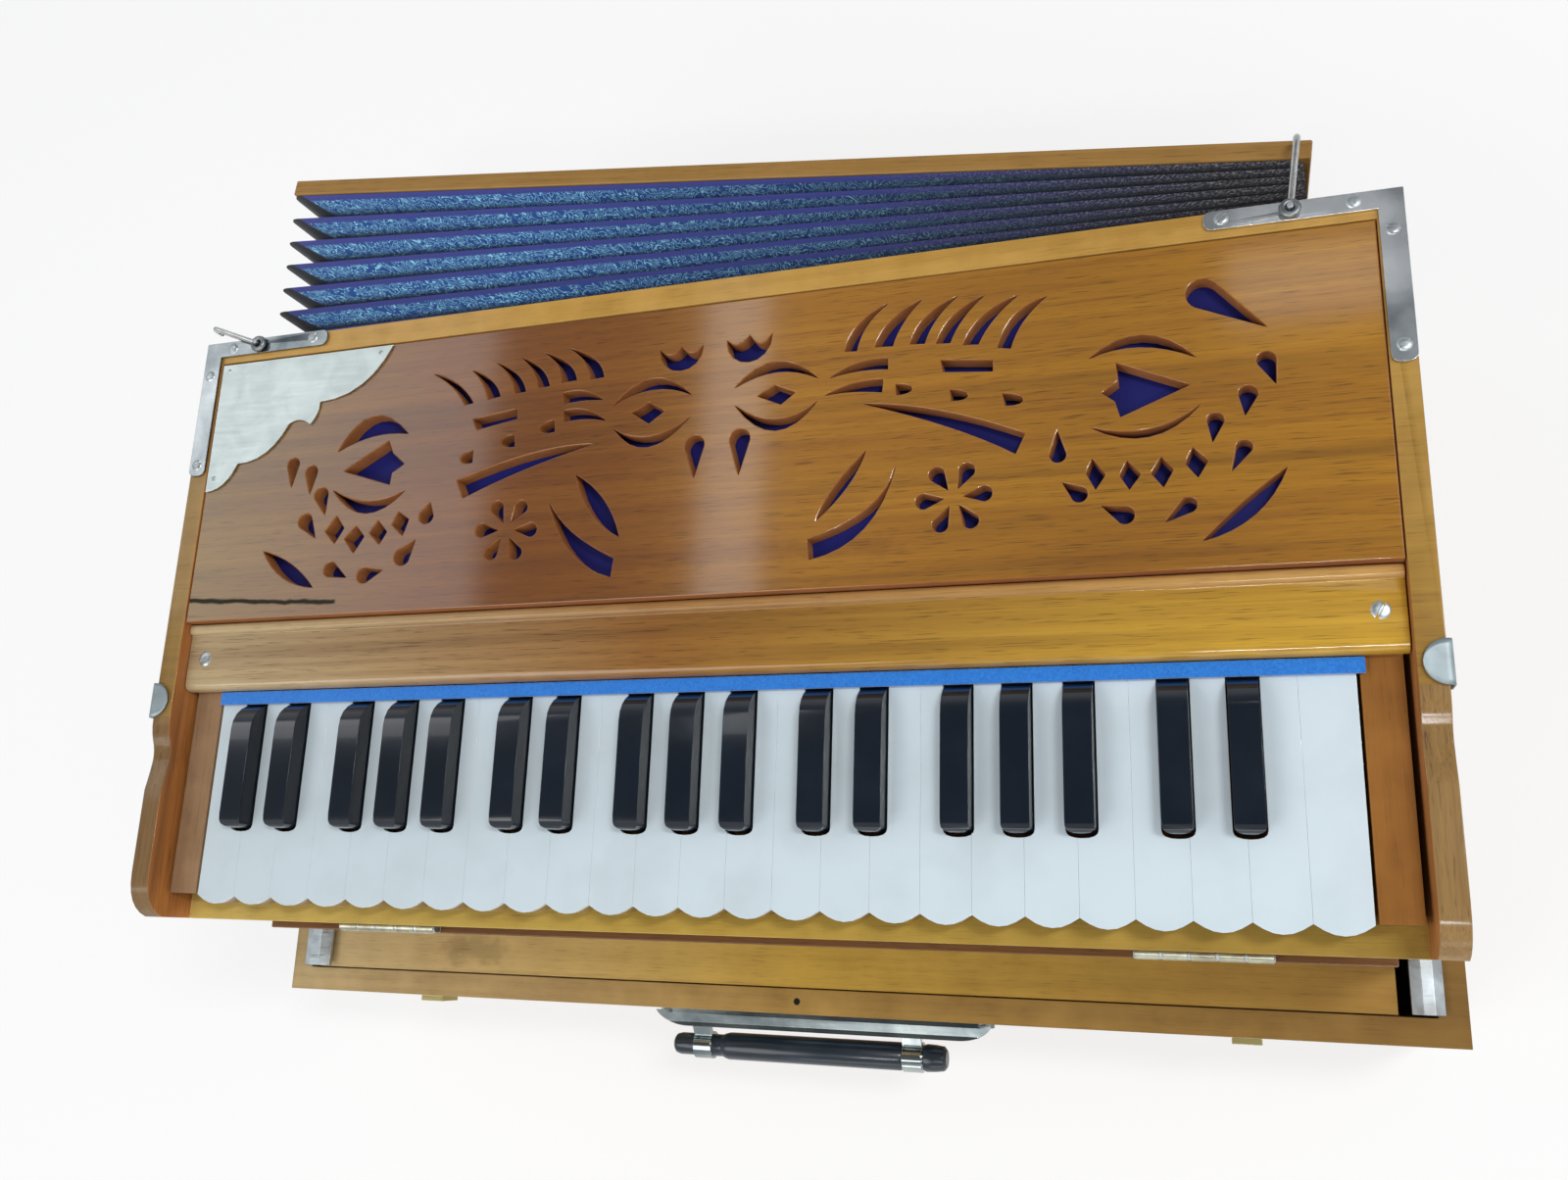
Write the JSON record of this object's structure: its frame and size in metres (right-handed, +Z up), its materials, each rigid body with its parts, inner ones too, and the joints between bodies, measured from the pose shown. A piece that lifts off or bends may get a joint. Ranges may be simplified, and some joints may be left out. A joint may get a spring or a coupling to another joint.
{
  "type": "folding harmonium",
  "caption": "Folding hand-pumped reed organ: a wooden keyboard body with pierced top panel and rear bellows, raised over a shallow carrying case with a handle.",
  "frame": {"origin": "middle of the carrying case's flat underside, on the surface it stands on", "axes": "+X to the player's right along the keyboard, +Y away from the player to the bellows, +Z up"},
  "size_m": [0.6054, 0.4482, 0.266],
  "materials": {
    "teak": "varnished golden brown with darker streaks",
    "dark_teak": "varnished brown",
    "ivory": "glossy bluish white",
    "ebony": "glossy near black",
    "felt": "matt blue felt",
    "steel": "dull light grey",
    "chrome": "bright",
    "grip": "black, slightly glossy",
    "bellows_cloth": "navy cloth with a light blue print"
  },
  "bodies": {
    "frame": {"case_box": "dark_teak", "rest_rail_left": "steel", "rest_rail_right": "steel", "handle_plate": "chrome", "carcass": "teak", "key_bed": "teak", "name_rail": "teak", "felt_strip": "felt", "fret_panel": "teak", "blank_plate": "steel", "corner_plate_left": "steel", "corner_plate_right": "steel", "bellows_folds": "bellows_cloth"},
    "bellows_board": {"bellows_board": "teak"},
    "front_flap": {"front_flap": "teak"},
    "hook_left": {"hook_left": "steel"},
    "hook_right": {"hook_right": "steel"},
    "handle_grip": {"handle_grip": "grip"},
    "white_key_01": {"white_key_01": "ivory"},
    "white_key_02": {"white_key_02": "ivory"},
    "white_key_03": {"white_key_03": "ivory"},
    "white_key_04": {"white_key_04": "ivory"},
    "white_key_05": {"white_key_05": "ivory"},
    "white_key_06": {"white_key_06": "ivory"},
    "white_key_07": {"white_key_07": "ivory"},
    "white_key_08": {"white_key_08": "ivory"},
    "white_key_09": {"white_key_09": "ivory"},
    "white_key_10": {"white_key_10": "ivory"},
    "white_key_11": {"white_key_11": "ivory"},
    "white_key_12": {"white_key_12": "ivory"},
    "white_key_13": {"white_key_13": "ivory"},
    "white_key_14": {"white_key_14": "ivory"},
    "white_key_15": {"white_key_15": "ivory"},
    "white_key_16": {"white_key_16": "ivory"},
    "white_key_17": {"white_key_17": "ivory"},
    "white_key_18": {"white_key_18": "ivory"},
    "white_key_19": {"white_key_19": "ivory"},
    "white_key_20": {"white_key_20": "ivory"},
    "white_key_21": {"white_key_21": "ivory"},
    "white_key_22": {"white_key_22": "ivory"},
    "white_key_23": {"white_key_23": "ivory"},
    "white_key_24": {"white_key_24": "ivory"},
    "white_key_25": {"white_key_25": "ivory"},
    "black_key_01": {"black_key_01": "ebony"},
    "black_key_02": {"black_key_02": "ebony"},
    "black_key_03": {"black_key_03": "ebony"},
    "black_key_04": {"black_key_04": "ebony"},
    "black_key_05": {"black_key_05": "ebony"},
    "black_key_06": {"black_key_06": "ebony"},
    "black_key_07": {"black_key_07": "ebony"},
    "black_key_08": {"black_key_08": "ebony"},
    "black_key_09": {"black_key_09": "ebony"},
    "black_key_10": {"black_key_10": "ebony"},
    "black_key_11": {"black_key_11": "ebony"},
    "black_key_12": {"black_key_12": "ebony"},
    "black_key_13": {"black_key_13": "ebony"},
    "black_key_14": {"black_key_14": "ebony"},
    "black_key_15": {"black_key_15": "ebony"},
    "black_key_16": {"black_key_16": "ebony"},
    "black_key_17": {"black_key_17": "ebony"}
  },
  "joints": [
    {"name": "bellows_swing", "type": "hinge", "parent": "frame", "child": "bellows_board", "pos_m": [0.262, 0.1616, 0.19], "axis": [0, 0, -1], "range_deg": [-7, 8], "deforming": ["bellows_folds"]},
    {"name": "flap_hinge", "type": "hinge", "parent": "frame", "child": "front_flap", "pos_m": [0, -0.1523, 0.1778], "axis": [1, 0, 0], "range_deg": [0, 70]},
    {"name": "hook_left_turn", "type": "hinge", "parent": "frame", "child": "hook_left", "pos_m": [-0.2515, 0.1345, 0.2632], "axis": [0, 0, 1], "range_deg": [-145, 10]},
    {"name": "hook_right_turn", "type": "hinge", "parent": "frame", "child": "hook_right", "pos_m": [0.2438, 0.1345, 0.2632], "axis": [0, 0, 1], "range_deg": [-69, 86]},
    {"name": "handle_turn", "type": "hinge", "parent": "frame", "child": "handle_grip", "pos_m": [0, -0.194, 0.091], "axis": [1, 0, 0], "range_deg": [-68, 30]},
    {"name": "white_key_01_press", "type": "hinge", "parent": "frame", "child": "white_key_01", "pos_m": [0, -0.0284, 0.2349], "axis": [1, 0, 0], "range_deg": [0, 3], "stiffness_Nm_per_rad": 0.25, "springref_deg": -6.88},
    {"name": "white_key_02_press", "type": "hinge", "parent": "frame", "child": "white_key_02", "pos_m": [0, -0.0284, 0.2349], "axis": [1, 0, 0], "range_deg": [0, 3], "stiffness_Nm_per_rad": 0.25, "springref_deg": -6.88},
    {"name": "white_key_03_press", "type": "hinge", "parent": "frame", "child": "white_key_03", "pos_m": [0, -0.0284, 0.2349], "axis": [1, 0, 0], "range_deg": [0, 3], "stiffness_Nm_per_rad": 0.25, "springref_deg": -6.88},
    {"name": "white_key_04_press", "type": "hinge", "parent": "frame", "child": "white_key_04", "pos_m": [0, -0.0284, 0.2349], "axis": [1, 0, 0], "range_deg": [0, 3], "stiffness_Nm_per_rad": 0.25, "springref_deg": -6.88},
    {"name": "white_key_05_press", "type": "hinge", "parent": "frame", "child": "white_key_05", "pos_m": [0, -0.0284, 0.2349], "axis": [1, 0, 0], "range_deg": [0, 3], "stiffness_Nm_per_rad": 0.25, "springref_deg": -6.88},
    {"name": "white_key_06_press", "type": "hinge", "parent": "frame", "child": "white_key_06", "pos_m": [0, -0.0284, 0.2349], "axis": [1, 0, 0], "range_deg": [0, 3], "stiffness_Nm_per_rad": 0.25, "springref_deg": -6.88},
    {"name": "white_key_07_press", "type": "hinge", "parent": "frame", "child": "white_key_07", "pos_m": [0, -0.0284, 0.2349], "axis": [1, 0, 0], "range_deg": [0, 3], "stiffness_Nm_per_rad": 0.25, "springref_deg": -6.88},
    {"name": "white_key_08_press", "type": "hinge", "parent": "frame", "child": "white_key_08", "pos_m": [0, -0.0284, 0.2349], "axis": [1, 0, 0], "range_deg": [0, 3], "stiffness_Nm_per_rad": 0.25, "springref_deg": -6.88},
    {"name": "white_key_09_press", "type": "hinge", "parent": "frame", "child": "white_key_09", "pos_m": [0, -0.0284, 0.2349], "axis": [1, 0, 0], "range_deg": [0, 3], "stiffness_Nm_per_rad": 0.25, "springref_deg": -6.88},
    {"name": "white_key_10_press", "type": "hinge", "parent": "frame", "child": "white_key_10", "pos_m": [0, -0.0284, 0.2349], "axis": [1, 0, 0], "range_deg": [0, 3], "stiffness_Nm_per_rad": 0.25, "springref_deg": -6.88},
    {"name": "white_key_11_press", "type": "hinge", "parent": "frame", "child": "white_key_11", "pos_m": [0, -0.0284, 0.2349], "axis": [1, 0, 0], "range_deg": [0, 3], "stiffness_Nm_per_rad": 0.25, "springref_deg": -6.88},
    {"name": "white_key_12_press", "type": "hinge", "parent": "frame", "child": "white_key_12", "pos_m": [0, -0.0284, 0.2349], "axis": [1, 0, 0], "range_deg": [0, 3], "stiffness_Nm_per_rad": 0.25, "springref_deg": -6.88},
    {"name": "white_key_13_press", "type": "hinge", "parent": "frame", "child": "white_key_13", "pos_m": [0, -0.0284, 0.2349], "axis": [1, 0, 0], "range_deg": [0, 3], "stiffness_Nm_per_rad": 0.25, "springref_deg": -6.88},
    {"name": "white_key_14_press", "type": "hinge", "parent": "frame", "child": "white_key_14", "pos_m": [0, -0.0284, 0.2349], "axis": [1, 0, 0], "range_deg": [0, 3], "stiffness_Nm_per_rad": 0.25, "springref_deg": -6.88},
    {"name": "white_key_15_press", "type": "hinge", "parent": "frame", "child": "white_key_15", "pos_m": [0, -0.0284, 0.2349], "axis": [1, 0, 0], "range_deg": [0, 3], "stiffness_Nm_per_rad": 0.25, "springref_deg": -6.88},
    {"name": "white_key_16_press", "type": "hinge", "parent": "frame", "child": "white_key_16", "pos_m": [0, -0.0284, 0.2349], "axis": [1, 0, 0], "range_deg": [0, 3], "stiffness_Nm_per_rad": 0.25, "springref_deg": -6.88},
    {"name": "white_key_17_press", "type": "hinge", "parent": "frame", "child": "white_key_17", "pos_m": [0, -0.0284, 0.2349], "axis": [1, 0, 0], "range_deg": [0, 3], "stiffness_Nm_per_rad": 0.25, "springref_deg": -6.88},
    {"name": "white_key_18_press", "type": "hinge", "parent": "frame", "child": "white_key_18", "pos_m": [0, -0.0284, 0.2349], "axis": [1, 0, 0], "range_deg": [0, 3], "stiffness_Nm_per_rad": 0.25, "springref_deg": -6.88},
    {"name": "white_key_19_press", "type": "hinge", "parent": "frame", "child": "white_key_19", "pos_m": [0, -0.0284, 0.2349], "axis": [1, 0, 0], "range_deg": [0, 3], "stiffness_Nm_per_rad": 0.25, "springref_deg": -6.88},
    {"name": "white_key_20_press", "type": "hinge", "parent": "frame", "child": "white_key_20", "pos_m": [0, -0.0284, 0.2349], "axis": [1, 0, 0], "range_deg": [0, 3], "stiffness_Nm_per_rad": 0.25, "springref_deg": -6.88},
    {"name": "white_key_21_press", "type": "hinge", "parent": "frame", "child": "white_key_21", "pos_m": [0, -0.0284, 0.2349], "axis": [1, 0, 0], "range_deg": [0, 3], "stiffness_Nm_per_rad": 0.25, "springref_deg": -6.88},
    {"name": "white_key_22_press", "type": "hinge", "parent": "frame", "child": "white_key_22", "pos_m": [0, -0.0284, 0.2349], "axis": [1, 0, 0], "range_deg": [0, 3], "stiffness_Nm_per_rad": 0.25, "springref_deg": -6.88},
    {"name": "white_key_23_press", "type": "hinge", "parent": "frame", "child": "white_key_23", "pos_m": [0, -0.0284, 0.2349], "axis": [1, 0, 0], "range_deg": [0, 3], "stiffness_Nm_per_rad": 0.25, "springref_deg": -6.88},
    {"name": "white_key_24_press", "type": "hinge", "parent": "frame", "child": "white_key_24", "pos_m": [0, -0.0284, 0.2349], "axis": [1, 0, 0], "range_deg": [0, 3], "stiffness_Nm_per_rad": 0.25, "springref_deg": -6.88},
    {"name": "white_key_25_press", "type": "hinge", "parent": "frame", "child": "white_key_25", "pos_m": [0, -0.0284, 0.2349], "axis": [1, 0, 0], "range_deg": [0, 3], "stiffness_Nm_per_rad": 0.25, "springref_deg": -6.88},
    {"name": "black_key_01_press", "type": "hinge", "parent": "frame", "child": "black_key_01", "pos_m": [0, -0.0284, 0.2349], "axis": [1, 0, 0], "range_deg": [0, 3], "stiffness_Nm_per_rad": 0.25, "springref_deg": -6.88},
    {"name": "black_key_02_press", "type": "hinge", "parent": "frame", "child": "black_key_02", "pos_m": [0, -0.0284, 0.2349], "axis": [1, 0, 0], "range_deg": [0, 3], "stiffness_Nm_per_rad": 0.25, "springref_deg": -6.88},
    {"name": "black_key_03_press", "type": "hinge", "parent": "frame", "child": "black_key_03", "pos_m": [0, -0.0284, 0.2349], "axis": [1, 0, 0], "range_deg": [0, 3], "stiffness_Nm_per_rad": 0.25, "springref_deg": -6.88},
    {"name": "black_key_04_press", "type": "hinge", "parent": "frame", "child": "black_key_04", "pos_m": [0, -0.0284, 0.2349], "axis": [1, 0, 0], "range_deg": [0, 3], "stiffness_Nm_per_rad": 0.25, "springref_deg": -6.88},
    {"name": "black_key_05_press", "type": "hinge", "parent": "frame", "child": "black_key_05", "pos_m": [0, -0.0284, 0.2349], "axis": [1, 0, 0], "range_deg": [0, 3], "stiffness_Nm_per_rad": 0.25, "springref_deg": -6.88},
    {"name": "black_key_06_press", "type": "hinge", "parent": "frame", "child": "black_key_06", "pos_m": [0, -0.0284, 0.2349], "axis": [1, 0, 0], "range_deg": [0, 3], "stiffness_Nm_per_rad": 0.25, "springref_deg": -6.88},
    {"name": "black_key_07_press", "type": "hinge", "parent": "frame", "child": "black_key_07", "pos_m": [0, -0.0284, 0.2349], "axis": [1, 0, 0], "range_deg": [0, 3], "stiffness_Nm_per_rad": 0.25, "springref_deg": -6.88},
    {"name": "black_key_08_press", "type": "hinge", "parent": "frame", "child": "black_key_08", "pos_m": [0, -0.0284, 0.2349], "axis": [1, 0, 0], "range_deg": [0, 3], "stiffness_Nm_per_rad": 0.25, "springref_deg": -6.88},
    {"name": "black_key_09_press", "type": "hinge", "parent": "frame", "child": "black_key_09", "pos_m": [0, -0.0284, 0.2349], "axis": [1, 0, 0], "range_deg": [0, 3], "stiffness_Nm_per_rad": 0.25, "springref_deg": -6.88},
    {"name": "black_key_10_press", "type": "hinge", "parent": "frame", "child": "black_key_10", "pos_m": [0, -0.0284, 0.2349], "axis": [1, 0, 0], "range_deg": [0, 3], "stiffness_Nm_per_rad": 0.25, "springref_deg": -6.88},
    {"name": "black_key_11_press", "type": "hinge", "parent": "frame", "child": "black_key_11", "pos_m": [0, -0.0284, 0.2349], "axis": [1, 0, 0], "range_deg": [0, 3], "stiffness_Nm_per_rad": 0.25, "springref_deg": -6.88},
    {"name": "black_key_12_press", "type": "hinge", "parent": "frame", "child": "black_key_12", "pos_m": [0, -0.0284, 0.2349], "axis": [1, 0, 0], "range_deg": [0, 3], "stiffness_Nm_per_rad": 0.25, "springref_deg": -6.88},
    {"name": "black_key_13_press", "type": "hinge", "parent": "frame", "child": "black_key_13", "pos_m": [0, -0.0284, 0.2349], "axis": [1, 0, 0], "range_deg": [0, 3], "stiffness_Nm_per_rad": 0.25, "springref_deg": -6.88},
    {"name": "black_key_14_press", "type": "hinge", "parent": "frame", "child": "black_key_14", "pos_m": [0, -0.0284, 0.2349], "axis": [1, 0, 0], "range_deg": [0, 3], "stiffness_Nm_per_rad": 0.25, "springref_deg": -6.88},
    {"name": "black_key_15_press", "type": "hinge", "parent": "frame", "child": "black_key_15", "pos_m": [0, -0.0284, 0.2349], "axis": [1, 0, 0], "range_deg": [0, 3], "stiffness_Nm_per_rad": 0.25, "springref_deg": -6.88},
    {"name": "black_key_16_press", "type": "hinge", "parent": "frame", "child": "black_key_16", "pos_m": [0, -0.0284, 0.2349], "axis": [1, 0, 0], "range_deg": [0, 3], "stiffness_Nm_per_rad": 0.25, "springref_deg": -6.88},
    {"name": "black_key_17_press", "type": "hinge", "parent": "frame", "child": "black_key_17", "pos_m": [0, -0.0284, 0.2349], "axis": [1, 0, 0], "range_deg": [0, 3], "stiffness_Nm_per_rad": 0.25, "springref_deg": -6.88}
  ]
}
